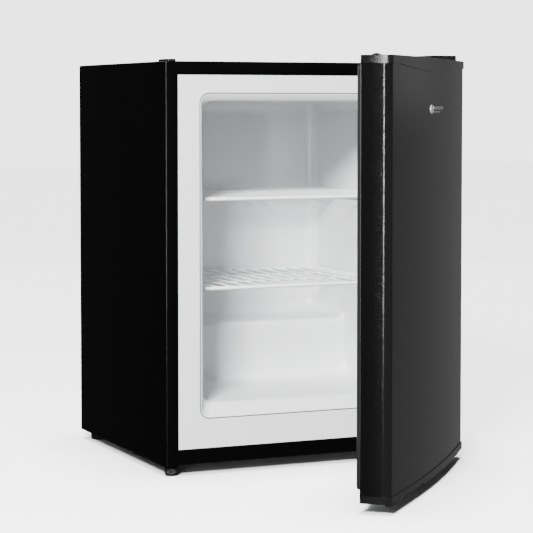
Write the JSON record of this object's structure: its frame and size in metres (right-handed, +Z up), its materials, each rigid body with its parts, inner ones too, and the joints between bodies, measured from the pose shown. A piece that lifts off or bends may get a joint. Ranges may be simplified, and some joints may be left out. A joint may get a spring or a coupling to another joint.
{
  "type": "table-top freezer",
  "caption": "Compact upright freezer with one bowed door hung on the right, standing open, two wire shelves, levelling feet and a rear compressor bay.",
  "frame": {"origin": "on the floor, under the middle of the cabinet without its door", "axes": "+Z up, front with the door faces -Y, door hinges on the +X side"},
  "size_m": [0.4937, 0.7922, 0.6411],
  "materials": {
    "black_steel": "near-black satin paint on folded sheet",
    "door_sheet": "charcoal coated sheet with a fine stipple",
    "cap_plastic": "moulded charcoal plastic, satin",
    "liner_plastic": "white formed sheet, satin",
    "seal_rubber": "soft dark grey seal",
    "shelf_coating": "white plastic coat on wire",
    "zinc_steel": "bright zinc-plated steel",
    "zinc_sheet": "zinc-coated sheet with a dull spangle",
    "machine_black": "gloss black machine paint",
    "copper": "drawn copper tube",
    "foam": "rigid polyurethane foam",
    "black_rubber": "matt black rubber",
    "black_plastic": "moulded black plastic",
    "badge_metal": "thin silver plate",
    "magnet": "magnetic rubber strip"
  },
  "bodies": {
    "cabinet": {"back_panel": "black_steel", "bottom_hinge_bracket": "zinc_steel", "bottom_hinge_pin": "zinc_steel", "bottom_hinge_screws": "zinc_steel", "bottom_plate": "zinc_sheet", "capillary_tube": "copper", "compressor_bay_panel": "zinc_sheet", "compressor_bolts": "zinc_steel", "compressor_foot_plate": "machine_black", "compressor_grommets": "black_rubber", "compressor_shell": "machine_black", "compressor_tray": "zinc_sheet", "condenser_coil_left": "copper", "condenser_coil_right": "copper", "condenser_outlet_pipe": "copper", "cord_bracket": "zinc_sheet", "discharge_pipe": "copper", "evaporator_tube": "copper", "filter_drier": "copper", "front_bottom_rail": "black_steel", "front_foot_sockets": "black_plastic", "hinge_hole_cover": "black_plastic", "inner_liner": "liner_plastic", "insulation_foam": "foam", "mains_cord_gland": "black_rubber", "outer_wrapper": "black_steel", "rear_foot_left": "black_rubber", "rear_foot_right": "black_rubber", "relay_cover": "black_plastic", "suction_pipe": "copper", "thermostat_body": "black_plastic", "thermostat_bracket": "zinc_sheet", "top_hinge_bracket": "zinc_steel", "top_hinge_cover": "black_plastic", "top_hinge_pin": "zinc_steel", "top_hinge_screws": "zinc_steel"},
    "door": {"door_badge": "badge_metal", "door_bottom_bush": "black_plastic", "door_bottom_cap": "cap_plastic", "door_foam": "foam", "door_gasket": "seal_rubber", "door_hole_plug": "black_plastic", "door_liner": "black_plastic", "door_outer_panel": "door_sheet", "door_top_bush": "black_plastic", "door_top_cap": "cap_plastic", "gasket_magnet_strips": "magnet"},
    "shelf_top": {"shelf_top": "shelf_coating"},
    "shelf_lower": {"shelf_lower": "shelf_coating"},
    "thermostat_knob": {"thermostat_knob": "black_plastic"},
    "front_foot_left": {"front_foot_left": "black_plastic"},
    "front_foot_right": {"front_foot_right": "black_plastic"}
  },
  "joints": [
    {"name": "door_hinge", "type": "hinge", "parent": "cabinet", "child": "door", "pos_m": [0.225, -0.2253, 0.3], "axis": [0, 0, 1], "range_deg": [-48.8, 66.2]},
    {"name": "shelf_top_slide", "type": "slide", "parent": "cabinet", "child": "shelf_top", "axis": [0, -1, 0], "range_m": [0, 0.06]},
    {"name": "shelf_lower_slide", "type": "slide", "parent": "cabinet", "child": "shelf_lower", "axis": [0, -1, 0], "range_m": [0, 0.06]},
    {"name": "thermostat_turn", "type": "hinge", "parent": "cabinet", "child": "thermostat_knob", "pos_m": [-0.114, 0.19, 0.0765], "axis": [0, 1, 0], "range_deg": [0, 270]},
    {"name": "foot_left_level", "type": "slide", "parent": "cabinet", "child": "front_foot_left", "axis": [0, 0, -1], "range_m": [0, 0.01]},
    {"name": "foot_right_level", "type": "slide", "parent": "cabinet", "child": "front_foot_right", "axis": [0, 0, -1], "range_m": [0, 0.01]}
  ]
}
